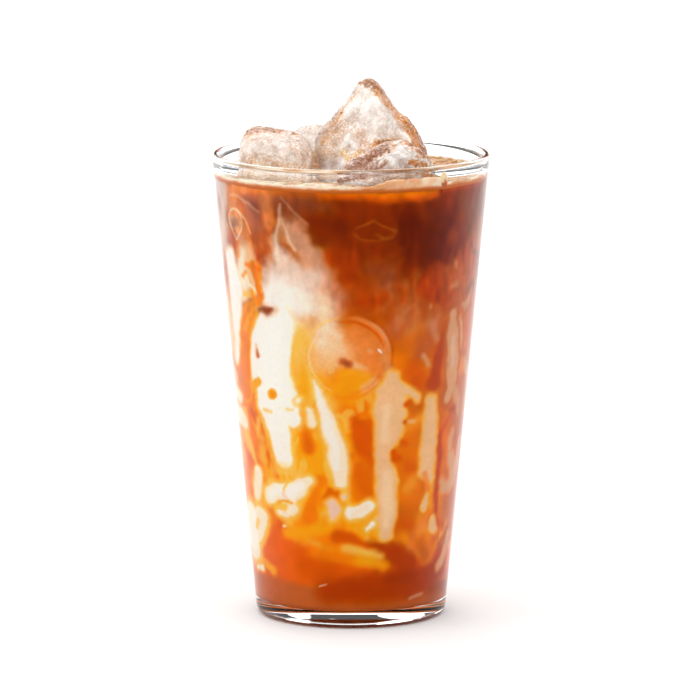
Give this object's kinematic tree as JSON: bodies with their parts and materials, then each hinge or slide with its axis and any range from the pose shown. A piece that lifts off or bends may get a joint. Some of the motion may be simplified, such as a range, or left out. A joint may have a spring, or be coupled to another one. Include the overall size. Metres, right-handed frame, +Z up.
{
  "type": "iced latte in a glass",
  "caption": "Iced latte with caramel and milk streaks in a tapered clear glass, with ice standing out of the foam.",
  "frame": {"origin": "middle of the foot, on the surface that the glass stands on", "axes": "+Z up along the axis of the glass; -Y is the front, where the long low lump of ice lies; +X is to the right of someone facing the front"},
  "size_m": [0.0888, 0.0888, 0.1727],
  "materials": {
    "clear_glass": "gloss",
    "caramel_sauce": "gloss",
    "milk": "gloss",
    "coffee": "gloss",
    "foam": "matte",
    "ice": "gloss"
  },
  "bodies": {
    "root": {"glass": "clear_glass", "caramel": "caramel_sauce", "milk": "milk", "coffee": "coffee", "foam": "foam", "ice_tall": "ice", "ice_left": "ice", "ice_back": "ice", "ice_front": "ice"}
  },
  "joints": []
}
